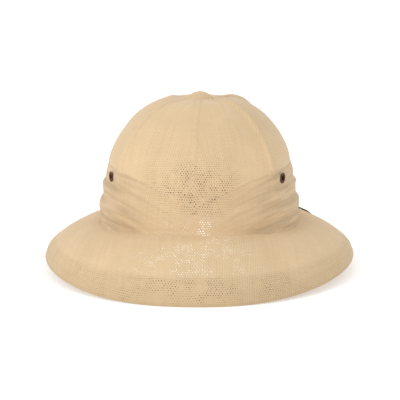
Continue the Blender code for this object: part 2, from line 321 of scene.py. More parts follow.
# %% [markdown]
# ## Skins
# Each cloth part is a grid of faces: rings that go round the hat, one above the other. The helper builds the
# grid and gives it a UV map in metres that follows the threads of the cloth, measured along the rings and up
# the columns from the middle of each panel. A second helper lifts the points along their own normals, for
# seams, dents and swells. Sculpting by hand would look as good, but can't be measured or repeated.


# %% Helpers for skins
CRISP_ANGLE = radians(60)


def mesh_of(shape, name):
    mesh = bpy.data.meshes.new(name)
    shape.to_mesh(mesh)
    shape.free()
    return mesh


def even_round(count):
    """Even places round the hat, as angles and in degrees."""
    return [tau * place / count for place in range(count)], [360 * place / count for place in range(count)]


def lengths_round(ring):
    """Distance along a closed ring from its first point to each point, and back to the first."""
    total = [0.0]
    for here, after in zip(ring, ring[1:] + ring[:1]):
        total.append(total[-1] + (after - here).length)
    return total


def skin(name, rings, homes, close_section=False):
    """Grid mesh over closed rings. homes gives, for each column of faces, where its threads start."""
    shape = bmesh.new()
    layer = shape.loops.layers.uv.new("threads")
    rows = [[shape.verts.new(point) for point in ring] for ring in rings]
    count = len(rings[0])
    around = [lengths_round(ring) for ring in rings]
    upward = [[0.0] * count]
    for low, high in zip(rings, rings[1:] + rings[:1]):
        upward.append([before + (b - a).length for before, a, b in zip(upward[-1], low, high)])
    tall = len(rings) if close_section else len(rings) - 1
    for row in range(tall):
        above = (row + 1) % len(rings)
        for column in range(count):
            after = (column + 1) % count
            corners = [(row, row, column, column), (row, row, after, column + 1)]
            corners += [(above, row + 1, after, column + 1), (above, row + 1, column, column)]
            face = shape.faces.new([rows[at][vertex] for at, level, vertex, place in corners])
            face.smooth = True
            for loop, (at, level, vertex, place) in zip(face.loops, corners):
                middle = around[at][homes[column]]
                loop[layer].uv = (around[at][place] - middle, upward[level][vertex])
    return mesh_of(shape, name)


def lift(mesh, heights):
    """Move each point along its normal by its own height."""
    normals = np.empty(len(mesh.vertices) * 3)
    places = np.empty(len(mesh.vertices) * 3)
    mesh.vertices.foreach_get("normal", normals)
    mesh.vertices.foreach_get("co", places)
    places = places.reshape(-1, 3) + normals.reshape(-1, 3) * np.array(heights)[:, None]
    mesh.vertices.foreach_set("co", places.ravel())
    mesh.update()


def show(name, mesh):
    piece = bpy.data.objects.new(name, mesh)
    bpy.context.scene.collection.objects.link(piece)
    return piece


def settle(piece):
    """Turn what the modifiers make into the piece's own mesh, and remove them."""
    whole = bpy.context.evaluated_depsgraph_get()
    made = bpy.data.meshes.new_from_object(piece.evaluated_get(whole))
    piece.modifiers.clear()
    piece.data = made
    made.name = piece.name
    return made


def give_wall(piece, thickness):
    wall = piece.modifiers.new("wall", "SOLIDIFY")
    wall.thickness = thickness
    wall.offset = -1
    wall.use_even_offset = True


def soft(place, scale, seed):
    """Smooth noise from -1 to 1 whose swells are about 1 / scale metres wide."""
    return noise.noise(Vector(place) * scale + Vector((seed, 3.1 * seed, 7.7 * seed)))


def soft_layers(place, layers):
    """Layers of soft noise, each with its share, scale and seed."""
    return sum(share * soft(place, scale, seed) for share, scale, seed in layers)


def settle_cloth(piece):
    """Settle a piece of cloth and keep its cut edges crisp."""
    settle(piece).set_sharp_from_angle(angle=CRISP_ANGLE)


def dress(piece, material=None):
    """Give a piece its material, unless its nodes did, and count its triangles."""
    if material:
        piece.data.materials.append(material)
    print(f"{piece.name}: {sum(len(face.vertices) - 2 for face in piece.data.polygons)} triangles")


def set_values(mesh, **values):
    """Give the mesh a number for each point, or one for all of them, for its material to read."""
    for name, numbers in values.items():
        if isinstance(numbers, float):
            numbers = [numbers] * len(mesh.vertices)
        mesh.attributes.new(name, "FLOAT", "POINT").data.foreach_set("value", numbers)


# %% [markdown]
# ## Nodes by hand
# Shaders and Geometry Nodes are wired in the same way, so one small helper adds a node, sets it up and fills
# its inputs, each with a number, a colour or another node's socket. The nodes that come up often have a
# helper of their own.


# %% Helpers for node trees
def put(tree, kind, inputs=None, **settings):
    made = tree.nodes.new(kind)
    for key, value in settings.items():
        setattr(made, key, value)
    for key, value in (inputs or {}).items():
        if isinstance(value, bpy.types.NodeSocket):
            tree.links.new(value, made.inputs[key])
        else:
            made.inputs[key].default_value = value
    return made


def calc(tree, operation, first, second=0.0, third=0.0):
    return put(tree, "ShaderNodeMath", {0: first, 1: second, 2: third}, operation=operation).outputs[0]


def vector_of(tree, x, y, z=0.0):
    return put(tree, "ShaderNodeCombineXYZ", {0: x, 1: y, 2: z}).outputs[0]


def scaled(tree, colour, factor):
    return put(tree, "ShaderNodeVectorMath", {0: colour, "Scale": factor}, operation="SCALE").outputs[0]


def object_place(tree):
    return put(tree, "ShaderNodeTexCoord").outputs["Object"]


def noise_at(tree, place, scale, detail, **more):
    """Soft noise from 0 to 1."""
    inputs = {"Vector": place, "Scale": scale, "Detail": detail, **more}
    return put(tree, "ShaderNodeTexNoise", inputs).outputs["Fac"]


def span(tree, value, low, high, least=0.0, most=1.0, **settings):
    """The range from low to high spread over the range from least to most."""
    inputs = {"Value": value, "From Min": low, "From Max": high, "To Min": least, "To Max": most}
    return put(tree, "ShaderNodeMapRange", inputs, **settings).outputs[0]


def blend(tree, share, first, second):
    """Mix of two colours."""
    return put(tree, "ShaderNodeMix", {"Factor": share, 6: first, 7: second}, data_type="RGBA").outputs[2]


def ramp(tree, share, first, second, ends=(0.0, 1.0)):
    """Colour ramp between two colours."""
    made = put(tree, "ShaderNodeValToRGB", {"Fac": share})
    for element, position, colour in zip(made.color_ramp.elements, ends, (first, second)):
        element.position = position
        element.color = (*colour, 1)
    return made.outputs["Color"]


def bump(tree, height, strength, distance):
    inputs = {"Strength": strength, "Distance": distance, "Height": height}
    return put(tree, "ShaderNodeBump", inputs).outputs[0]


def attribute(tree, name):
    return put(tree, "ShaderNodeAttribute", attribute_name=name).outputs["Fac"]


def wire(tree, inputs, sources):
    """Join each source to the input that it is named after."""
    for name, source in sources.items():
        tree.links.new(source, inputs[name])


def new_group(name, kind, inputs, outputs):
    """A node tree with named inputs and outputs, and its two end nodes."""
    tree = bpy.data.node_groups.new(name, kind)
    for label, socket, value in inputs:
        made = tree.interface.new_socket(label, in_out="INPUT", socket_type="NodeSocket" + socket)
        if value is not None:
            made.default_value = value
    for label, socket in outputs:
        tree.interface.new_socket(label, in_out="OUTPUT", socket_type="NodeSocket" + socket)
    return tree, tree.nodes.new("NodeGroupInput").outputs, tree.nodes.new("NodeGroupOutput").inputs


def new_material(name):
    """A material, its node tree and the inputs of its shader."""
    material = bpy.data.materials.new(name)
    material.use_nodes = True
    tree = material.node_tree
    return material, tree, tree.nodes["Principled BSDF"].inputs


# %% [markdown]
# ## Woven straw
# The cloth is an open weave of paper straw: each strand goes over one neighbour and under the next, and a
# pinhole is left where four strands meet. The strands that run up are beaten to and fro from row to row, so
# the pinholes are staggered. An image would repeat and blur, so the weave is worked out from the UV map.
# Cosines give the round backs of the strands and say which of two is on top, and noise that is read once per
# strand gives each its own tone. The colour is darkened where the strands dip, as painted shade in the
# grooves between them, and a little along each column, as painted shade of the ribs. Crown, brim, hem, band
# and button share it, so it is a group.


# %% The weave as a shader group
ROW_CLOSENESS = 0.87
STRAND_SWAY = 0.0065
STRAND_FULLNESS = 0.55
CROSSING_DEPTH = 0.45
TONE_STEP = 1.37
TONE_ALONG = 0.035
TONE_SPAN = (0.28, 0.72)
HOLE_LEAST = 0.62
HOLE_CHANCE = 0.34
HOLE_EDGE = 0.8
GROOVE_SHADE_SPAN = (0.55, 1.1)
RIB_SHADE = 0.09


def build_weave():
    inputs = [
        ("Threads", "Vector", None),
        ("Pitch", "Float", 0.0022),
        ("Openness", "Float", 0.5),
        ("Ribs", "Float", 0.3),
        ("Pale", "Color", (0.88, 0.67, 0.43, 1)),
        ("Deep", "Color", (0.80, 0.59, 0.36, 1)),
        ("Hole", "Color", (0.16, 0.10, 0.06, 1)),
    ]
    outputs = [("Color", "Color"), ("Height", "Float"), ("Pinhole", "Float")]
    tree, given, out = new_group("plain_weave", "ShaderNodeTree", inputs, outputs)
    wander = put(tree, "ShaderNodeTexNoise", {"Vector": given["Threads"], "Scale": 26.0, "Detail": 2.0})
    centred = {0: wander.outputs["Color"], 1: (0.5, 0.5, 0.5)}
    sway = put(tree, "ShaderNodeVectorMath", centred, operation="SUBTRACT")
    moves = {0: sway.outputs[0], 1: (STRAND_SWAY, STRAND_SWAY, 0.0), 2: given["Threads"]}
    swayed = put(tree, "ShaderNodeVectorMath", moves, operation="MULTIPLY_ADD")
    split = put(tree, "ShaderNodeSeparateXYZ", {0: swayed.outputs[0]})
    column = calc(tree, "DIVIDE", split.outputs[0], given["Pitch"])
    level = calc(tree, "DIVIDE", split.outputs[1], calc(tree, "MULTIPLY", given["Pitch"], ROW_CLOSENESS))
    stagger = calc(tree, "MULTIPLY", calc(tree, "FLOORED_MODULO", calc(tree, "FLOOR", level), 2.0), 0.5)
    across = calc(tree, "ADD", column, stagger)
    strands = []
    for count in (across, level):
        wave = calc(tree, "COSINE", calc(tree, "MULTIPLY", count, pi))
        back = calc(tree, "POWER", calc(tree, "ABSOLUTE", wave), STRAND_FULLNESS)
        strands.append((count, wave, back, calc(tree, "SIGN", wave)))
    tops = []
    tones = []
    for own, other, side in ((0, 1, CROSSING_DEPTH), (1, 0, -CROSSING_DEPTH)):
        count, wave, back, sign = strands[own]
        over = calc(tree, "MULTIPLY_ADD", calc(tree, "MULTIPLY", strands[other][1], sign), side, 1.0)
        tops.append(calc(tree, "MULTIPLY", back, over))
        number = calc(tree, "MULTIPLY", calc(tree, "ROUND", count), TONE_STEP)
        along = calc(tree, "MULTIPLY", strands[other][0], TONE_ALONG)
        place = vector_of(tree, number, along, 5.0 * own)
        tone = calc(tree, "SUBTRACT", noise_at(tree, place, 1.0, 1.0), 0.5)
        tones.append(calc(tree, "MULTIPLY_ADD", tone, 1.0 - 0.6 * own, 0.5))
    height = calc(tree, "MAXIMUM", *tops)
    shares = {"Factor": calc(tree, "GREATER_THAN", *tops), "A": tones[1], "B": tones[0]}
    tone = put(tree, "ShaderNodeMix", shares, data_type="FLOAT")
    tone = span(tree, tone.outputs["Result"], *TONE_SPAN)
    straw = blend(tree, tone, given["Deep"], given["Pale"])
    crossing = calc(tree, "MAXIMUM", strands[0][2], strands[1][2])
    cell = vector_of(tree, calc(tree, "FLOOR", across), calc(tree, "FLOOR", level))
    chance = put(tree, "ShaderNodeTexWhiteNoise", {"Vector": cell}, noise_dimensions="2D")
    uneven = calc(tree, "MULTIPLY_ADD", chance.outputs["Value"], HOLE_CHANCE, HOLE_LEAST)
    limit = calc(tree, "MULTIPLY", given["Openness"], uneven)
    start = calc(tree, "MULTIPLY", limit, HOLE_EDGE)
    hole = span(tree, crossing, start, limit, 1.0, 0.0, interpolation_type="SMOOTHSTEP")
    # painted shade: the colour darkens where the strands dip between one another, and a little along each
    # column
    deepest_shade = calc(tree, "MULTIPLY_ADD", given["Openness"], -0.18, 0.98)
    groove = span(tree, height, *GROOVE_SHADE_SPAN, deepest_shade)
    rib = calc(tree, "COSINE", calc(tree, "MULTIPLY", column, tau))
    rib = calc(tree, "MULTIPLY", calc(tree, "MULTIPLY_ADD", rib, 0.5, 0.5), given["Ribs"])
    light = calc(tree, "MULTIPLY", groove, calc(tree, "MULTIPLY_ADD", rib, -RIB_SHADE, 1.0))
    colour = blend(tree, hole, scaled(tree, straw, light), given["Hole"])
    wire(tree, out, {"Color": colour, "Height": height, "Pinhole": hole})
    return tree


weave = build_weave()
print("group:", weave.name, "with", len(weave.nodes), "nodes")

# %% [markdown]
# ## Sun, dirt and painted shade
# Straw is never one colour: the sun fades it in broad patches. The group mixes a slow and a fine noise with a
# mask that each mesh carries as an attribute, and where the mask is high it darkens the colour towards grey.
# The mask holds a little dirt along the crown's seams and a light darkening of the button, and painted shade
# on the crown's side panels, on the brim next to the band and on the band's sides, hollows and foot; it also
# makes the rim and the hem darker.


# %% Sun, dirt and painted shade as a shader group
def build_ageing_and_shade():
    inputs = [
        ("Color", "Color", (0.8, 0.6, 0.4, 1)),
        ("Place", "Vector", None),
        ("Soil and Shade", "Float", 0.0),
        ("Fading", "Float", 0.12),
        ("Dirt and Shade", "Color", (0.76, 0.75, 0.74, 1)),
    ]
    outputs = [("Color", "Color"), ("Roughness", "Float")]
    tree, given, out = new_group("fading_soil_and_shade", "ShaderNodeTree", inputs, outputs)
    broad = noise_at(tree, given["Place"], 14.0, 3.0, Roughness=0.55)
    fine = noise_at(tree, given["Place"], 150.0, 4.0)
    tone = calc(tree, "MULTIPLY_ADD", calc(tree, "SUBTRACT", broad, 0.5), given["Fading"], 1.0)
    grain = calc(tree, "MULTIPLY_ADD", calc(tree, "SUBTRACT", fine, 0.5), 0.08, tone)
    toned = scaled(tree, given["Color"], grain)
    # where the mask is high the colour is darkened towards grey: a little dirt, mostly painted shade
    darkened = put(tree, "ShaderNodeVectorMath", {0: toned, 1: given["Dirt and Shade"]}, operation="MULTIPLY")
    uneven = calc(tree, "MULTIPLY", given["Soil and Shade"], calc(tree, "MULTIPLY_ADD", fine, 0.6, 0.7))
    mixed = blend(tree, uneven, toned, darkened.outputs[0])
    wire(tree, out, {"Color": mixed, "Roughness": calc(tree, "MULTIPLY_ADD", fine, 0.2, 0.6)})
    return tree


ageing_and_shade = build_ageing_and_shade()
print("group:", ageing_and_shade.name, "with", len(ageing_and_shade.nodes), "nodes")

# %% [markdown]
# ## The straw materials
# Crown, brim, hem and button are one cloth, and the band is the same straw, a little browner. Each
# material puts the two groups in line with its own values and sends the weave's height to a bump. The
# pinholes open and close in patches, as loosely woven cloth does, so their size follows two slow noises and
# the attribute "open" of the mesh. The pinholes are only coloured, not cut through. Where the attribute
# "glint" is high they are painted pale and glow a little, as they do on the photographed brim: painted light
# that stands for light seen through the weave. Elsewhere they are painted dark: painted shade that stands
# for the shaded inside of the hat.


# %% Straw materials
# The pinholes' colours: dark for painted shade of the hat's inside, pale with a little glow for painted light
# seen through the weave.
HOLE_SHADE = (0.11, 0.050, 0.024)
HOLE_PAINTED_LIGHT = (1.0, 0.96, 0.86)
HOLE_PATCHES = ((45.0, 0.33, 0.49), (120.0, 0.28, 0.50))
LEAST_PATCH = 0.44
PAINTED_GLOW = 0.20


def straw_material(name, pale, deep, fading):
    material, tree, shader = new_material(name)
    shader["Specular IOR Level"].default_value = 0.35
    shader["Sheen Weight"].default_value = 0.12
    shader["Sheen Roughness"].default_value = 0.4
    shader["Emission Strength"].default_value = PAINTED_GLOW
    place = object_place(tree)
    glint = attribute(tree, "glint")
    patches = [span(tree, noise_at(tree, place, scale, 2.0), low, high) for scale, low, high in HOLE_PATCHES]
    patch = calc(tree, "MULTIPLY_ADD", calc(tree, "MULTIPLY", *patches), 1 - LEAST_PATCH, LEAST_PATCH)
    woven = {
        "Threads": put(tree, "ShaderNodeUVMap", uv_map="threads").outputs[0],
        "Openness": calc(tree, "MULTIPLY", patch, attribute(tree, "open")),
        "Ribs": span(tree, noise_at(tree, place, 16.0, 1.0), 0.46, 0.58),
        "Pale": (*pale, 1),
        "Deep": (*deep, 1),
        "Hole": blend(tree, glint, (*HOLE_SHADE, 1), (*HOLE_PAINTED_LIGHT, 1)),
    }
    cloth = put(tree, "ShaderNodeGroup", woven, node_tree=weave).outputs
    toning = {"Color": cloth["Color"], "Place": place, "Soil and Shade": attribute(tree, "soil"), "Fading": fading}
    aged_and_shaded = put(tree, "ShaderNodeGroup", toning, node_tree=ageing_and_shade).outputs
    # painted light: where glint is high the pale pinholes also glow
    lit = calc(tree, "MULTIPLY", cloth["Pinhole"], glint)
    finish = {
        "Base Color": aged_and_shaded["Color"],
        "Roughness": aged_and_shaded["Roughness"],
        "Emission Color": blend(tree, lit, (0, 0, 0, 1), (1, 0.95, 0.84, 1)),
        "Normal": bump(tree, cloth["Height"], 0.22, 0.0005),
    }
    wire(tree, shader, finish)
    return material


straw = straw_material("straw", (0.755, 0.562, 0.338), (0.68, 0.495, 0.285), 0.12)
band_straw = straw_material("band_straw", (0.74, 0.545, 0.33), (0.66, 0.475, 0.275), 0.14)
print("materials:", straw.name, band_straw.name)


# %% [markdown]
# ## Crown
# The crown is six straw panels sewn edge to edge. Each seam is lapped, so it stands up as a narrow ridge that
# the light catches, and the cloth between the seams is pressed over a block and keeps soft dents. The grid
# has extra columns close to the seams. Ridges and dents are lifted into the mesh, because a bump alone would
# not show in the outline.

# %% Crown panels
SEAM_RAISE = 0.0025
SEAM_HALF = 0.0031
SEAM_WIDTH_CHANGE = 0.35
SEAM_HEIGHT_CHANGE = 0.30
DENT = 0.0007
DENT_LAYERS = ((1.0, 26, 3), (0.5, 60, 8))
COLUMN_STEP = 1.5
SEAM_OFFSETS = (-2.2, -1.5, -1.0, -0.6, 0.0, 0.6, 1.0, 1.5, 2.2)


def crown_columns():
    """Angles round the crown in degrees, closer together at the seams."""
    columns = {round((seam + shift) % 360, 3) for seam in SEAM_DEGREES[:-1] for shift in SEAM_OFFSETS}
    for step in range(round(360 / COLUMN_STEP)):
        degrees = step * COLUMN_STEP
        if all(abs(degrees - seam) > SEAM_OFFSETS[-1] + COLUMN_STEP / 2 for seam in SEAM_DEGREES):
            columns.add(degrees)
    return sorted(columns)


def seam_ridge(angle, point):
    """Height of the lapped seam under a point of the crown."""
    apart = min(abs(angle - seam) for seam in SEAM_ANGLES) * Vector(point).xy.length
    wide = SEAM_HALF * (1 + SEAM_WIDTH_CHANGE * soft(point, 70, 21))
    return bell(apart, wide, 3) * (1 + SEAM_HEIGHT_CHANGE * soft(point, 55, 22))


def homes_of(columns, middles):
    """For each column of faces, the column at the middle of its panel."""
    homes = []
    for low, high in zip(columns, columns[1:] + [columns[0] + 360]):
        middle = min(middles, key=lambda place: abs((low + high) / 2 - place))
        homes.append(min(range(len(columns) + 1), key=lambda i: abs((columns + [360])[i] - middle)))
    return homes


print("crown columns:", len(crown_columns()))

# %% Crown mesh
MIDDLE_SEAM_ARC = 0.3
MIDDLE_SEAM_SHARE = 0.20
RIGHT_SEAM_SHARE = 0.35
PANEL_HOMES = (24, 90, 156, 204, 270, 336)
SEAM_SOIL = 0.12
SIDE_SHADE = 0.20
LEAST_OPEN = 0.15
CROWN_OPEN_ARC = radians(33)
CROWN_OPEN_LEVEL = 0.086
CROWN_OPEN_REACH = 0.032


def make_crown():
    columns = crown_columns()
    angles = [radians(degrees) for degrees in columns]
    rings = [[crown_section(angle, *row) for angle in angles] for row in CROWN_CURVE]
    for point in rings[0]:
        point.z += GAP
    mesh = skin("crown_panels", rings, homes_of(columns, PANEL_HOMES))
    heights = []
    values = {"soil": [], "open": []}
    for ring in rings:
        for angle, point in zip(angles, ring):
            clear = ease((point.z - band_top(angle) + 0.002) / 0.006)
            share = RIGHT_SEAM_SHARE if angle > pi else 1.0
            if off_axis(angle) < MIDDLE_SEAM_ARC:
                share = MIDDLE_SEAM_SHARE
            ridge = seam_ridge(angle, point) * share
            dent = soft_layers(point, DENT_LAYERS)
            fade = ease((point.xy.length - 0.012) / 0.035)
            heights.append(clear * (SEAM_RAISE * ridge * fade + DENT * dent))
            front = bell(from_front(angle), CROWN_OPEN_ARC, 4)
            low = bell(point.z - CROWN_OPEN_LEVEL, CROWN_OPEN_REACH, 4)
            values["open"].append(mix(LEAST_OPEN, 1.0, front * low))
            # painted shade: the colour of the crown's side panels is darkened, on both sides; the seams get a
            # little dirt
            side = ease((off_axis(angle) - SEAM_ANGLES[1]) / radians(6))
            values["soil"].append(SEAM_SOIL * ridge + SIDE_SHADE * side)
    lift(mesh, heights)
    set_values(mesh, **values)
    close_top(mesh)
    return show("crown_panels", mesh)


def close_top(mesh):
    """Close the small hole that the last ring leaves at the apex, under the button."""
    shape = bmesh.new()
    shape.from_mesh(mesh)
    edges = [edge for edge in shape.edges if edge.is_boundary and edge.verts[0].co.z > CROWN_TOP - 0.005]
    tip = shape.verts.new((0, 0, CROWN_TOP))
    for edge in edges:
        loop = edge.link_loops[0]
        shape.faces.new((loop.link_loop_next.vert, loop.vert, tip)).smooth = True
    shape.to_mesh(mesh)
    shape.free()


# %% [markdown]
# ## Eyelet places
# Four eyelets sit just under the band's top edge. Their holes go through the band and the crown, so one
# cutter of four short cylinders is subtracted from both. The real holes are punched in the same way.

# %% Eyelet places and their cutter
EYELET_ANGLE = radians(58.5)
EYELET_DROP = 0.0074
EYELET_HOLE = 0.0052
EYELET_FLANGE = 0.0095
BARREL_WALL = 0.0005
CUTTER_DEPTH = 0.030
CUTTER_SIDES = 24

eyelet_angles = [EYELET_ANGLE, tau - EYELET_ANGLE, pi + EYELET_ANGLE, pi - EYELET_ANGLE]
eyelet_spots = [(crown_at(angle, band_top(angle) - EYELET_DROP), outward(angle)) for angle in eyelet_angles]


def make_cutter():
    shape = bmesh.new()
    for centre, axis in eyelet_spots:
        turn = axis.to_track_quat("Z", "Y").to_matrix().to_4x4()
        turn.translation = centre
        radius = EYELET_HOLE / 2 + BARREL_WALL + GAP
        form = {"radius1": radius, "radius2": radius, "depth": CUTTER_DEPTH, "segments": CUTTER_SIDES}
        bmesh.ops.create_cone(shape, cap_ends=True, matrix=turn, **form)
    return show("cutter", mesh_of(shape, "cutter"))


def punch(piece, cutter):
    cut = piece.modifiers.new("punch", "BOOLEAN")
    cut.operation = "DIFFERENCE"
    cut.solver = "EXACT"
    cut.object = cutter


cutter = make_cutter()
print("eyelet holes:", len(eyelet_spots))

# %% Finish the crown
crown = make_crown()
give_wall(crown, CROWN_WALL)
punch(crown, cutter)
settle_cloth(crown)
dress(crown, straw)

# %% [markdown]
# ## Brim
# The brim is one piece of the same straw cloth, pressed to a slope that steepens towards the rim, and sewn to
# the crown by a short upstand inside it. It is a skin like the crown, from the rim in to the upstand, with a
# shallow swell here and there, because pressed straw is never quite even.

# %% Brim mesh
BRIM_COLUMNS = 288
BRIM_SWELL = 0.0008
SWELL_LAYERS = ((1.0, 17, 5), (0.4, 45, 6))
BRIM_OPEN = 0.72
BRIM_OPEN_ARC = radians(34)
RIM_OPEN = 0.66
RIM_OPEN_ARC = radians(66)
RIM_START = 0.78
FOOT_SHADOW = 0.45
RIM_DARKENING = 0.35
EDGE_DARKENING = 0.30


def make_brim():
    angles, columns = even_round(BRIM_COLUMNS)
    inset = CROWN_WALL + GAP
    rings = [[brim_point(angle, *row) for angle in angles] for row in reversed(BRIM_CURVE)]
    foot = [seat_oval(angle, inset) + Vector((0, 0, seat_height(angle))) for angle in angles]
    rings.append(foot)
    for share in (0.3, 1.0):
        rings.append([point + Vector((0, 0, COLLAR_HEIGHT * share)) for point in foot])
    mesh = skin("brim_cloth", rings, homes_of(columns, (0, 180, 360)))
    heights = []
    values = {"soil": [], "open": [], "glint": []}
    outs = [row[0] for row in reversed(BRIM_CURVE)] + [0.0] * 3
    for out, ring in zip(outs, rings):
        for angle, point in zip(angles, ring):
            swell = soft_layers(point, SWELL_LAYERS)
            heights.append(BRIM_SWELL * swell * ease(out / 0.2) * ease((0.97 - out) / 0.15))
            front = bell(from_front(angle), BRIM_OPEN_ARC, 4)
            edge = ease((out - RIM_START) / 0.08)
            low = bell(from_front(angle), RIM_OPEN_ARC, 4) * edge
            values["open"].append(LEAST_OPEN + max(BRIM_OPEN * front, RIM_OPEN * low))
            # painted light: pale, glowing pinholes on the front of the brim, away from the rim
            values["glint"].append((1 - edge) * front)
            # painted shadow: the brim's colour is darkened next to the band's foot, except at the front
            foot_soil = FOOT_SHADOW * bell(out, 0.06) * (1 - front)
            # the colour is made darker towards the rim
            values["soil"].append(foot_soil + RIM_DARKENING * edge + EDGE_DARKENING * ease((out - 0.90) / 0.08))
    lift(mesh, heights)
    set_values(mesh, **values)
    return show("brim_cloth", mesh)


brim = make_brim()
give_wall(brim, BRIM_WALL)
settle_cloth(brim)
dress(brim, straw)

# %% [markdown]
# ## Hem
# At the rim the cloth is turned over a thin wire and sewn down, which leaves a round bead. It is a closed
# ring of small ovals that follows the rim, each a little different, as hand-turned cloth is.

# %% Hem mesh
HEM_HALF_WIDE = 0.0016
HEM_HALF_TALL = 0.0019
HEM_COLUMNS = 360
HEM_SIDES = 12
HEM_UNEVENNESS = 0.10


def rim_point(angle):
    """Outermost point of the rim and the level direction away from it."""
    point, after, before = [rim_oval(angle + radians(step)) for step in (0, 1, -1)]
    ahead = after - before
    return point, Vector((ahead.y, -ahead.x, 0)).normalized()


def make_hem():
    angles, columns = even_round(HEM_COLUMNS)
    rings = []
    for side in range(HEM_SIDES):
        turn = tau * side / HEM_SIDES
        ring = []
        for angle in angles:
            point, away = rim_point(angle)
            plump = 1 + HEM_UNEVENNESS * soft(point, 90, 11 + sin(turn))
            centre = point - away * HEM_HALF_WIDE
            centre.z = rim_height(angle) + HEM_HALF_TALL - HEM_HALF_TALL * cos(turn)
            ring.append(centre + away * HEM_HALF_WIDE * sin(turn) * plump)
        rings.append(ring)
    mesh = skin("hem", rings, homes_of(columns, (0, 180, 360)), close_section=True)
    # the colour is darkened all over the hem
    set_values(mesh, soil=0.9, open=0.45)
    return show("hem", mesh)


hem = make_hem()
dress(hem, straw)

# %% [markdown]
# ## Pleated band
# The band is one long strip of soft straw cloth, laid round the crown in four pleats that open upwards and
# are drawn together at the front. Nothing in it is pressed, so its lips are round, they wander, and smaller
# folds run between them. One function gives how far the cloth stands out from the crown at any place: the
# pleats, then the folds that follow them, and a flare at the foot where the cloth spreads on the brim.

# %% The folds of the band
PLEAT_COUNT = 4
PLEAT_PITCH = 0.0150
PLEAT_DEPTH = 0.0025
PLEAT_LIP = 0.15
TOP_LIP = 0.38
TOP_FULLNESS = 0.8
BAND_LAYER = 0.0005
BAND_SPREAD = 0.0022
FOLD_DEPTH = 0.0014
FLARE = 0.0030
FLARE_HEIGHT = 0.0045
GATHERED_FULLNESS = 0.10
GATHER_ARC = (radians(10), radians(42))
LIP_WANDER = 0.16
DEPTH_CHANGE = 0.45
FOLD_LAYERS = ((0.65, 2.4, 2.6, 31.0), (0.35, 6.0, 5.5, 17.0))
LEAST_OFFSET = 0.00025
BAND_COLUMNS = 480
BAND_ROWS = 64
LINING_ROWS = 6


def round_noise(angle, turns, level, seed):
    """Noise round the hat, about turns swells to a radian, that also changes with a level."""
    return noise.noise(Vector((cos(angle) * turns, sin(angle) * turns, level + seed)))


def round_layers(angle, down, layers):
    """Layers of noise round the hat, each with its share, its two frequencies and its seed."""
    return sum(share * round_noise(angle, turns, level * down, seed) for share, turns, level, seed in layers)


def gathered(angle):
    """How full the pleats are: flat where they are drawn together at the front."""
    start, reach = GATHER_ARC
    return mix(GATHERED_FULLNESS, 1.0, ease((from_front(angle) - start) / reach))


def band_offset(angle, height):
    """How far the band's outer face stands out from the crown at a height."""
    full = gathered(angle)
    down = (band_top(angle) - height) / PLEAT_PITCH
    phase = max(down + LIP_WANDER * round_noise(angle, 2.6, 0.6 * down, 4.3) * min(down, 1.0), 0.0)
    lip = phase % 1.0
    if phase >= PLEAT_COUNT:
        lip = 1.0
    soft_lip, fullness = (PLEAT_LIP, 1.0) if phase > 1 else (TOP_LIP, TOP_FULLNESS)
    proud = (1 - lip) ** 0.8 * (1 - bell(lip, soft_lip))
    depth = PLEAT_DEPTH * (1 + DEPTH_CHANGE * round_noise(angle, 3.1, 1.3 * int(phase), 9.1)) * fullness
    folds = round_layers(angle, down, FOLD_LAYERS)
    edge = ease(down / 0.25)
    layer = BAND_LAYER * mix(0.3 * ease(down / 0.3), 0.5 + 0.5 * ease(down / 0.5), full)
    offset = layer + (depth * proud + BAND_SPREAD * ease(down / 2.6)) * full
    offset += FOLD_DEPTH * folds * edge * mix(0.25, 1.0, full)
    above_foot = (height - band_foot(angle)) / FLARE_HEIGHT
    offset += mix(FLARE, 0.4 * FLARE, full) * max(1 - above_foot, 0.0) ** 2.5
    return max(offset, LEAST_OFFSET)


# %% Band mesh
TOP_WANDER = 0.0007
TOP_ROUNDING = 0.0001
LEAST_BAND_OPEN = 0.10
BAND_OPEN_ARC = radians(26)
STREAK_LAYERS = ((1.0, 2.6, 4.5, 50.0), (0.5, 5.0, 9.0, 70.0))
BAND_SHADE = 0.55
LIP_SHADE = 0.40
STREAK_DARKENING = 0.75
BAND_FOOT_SHADOW = 0.12
GLINT_TOP = 0.020
GLINT_FADE = 0.010


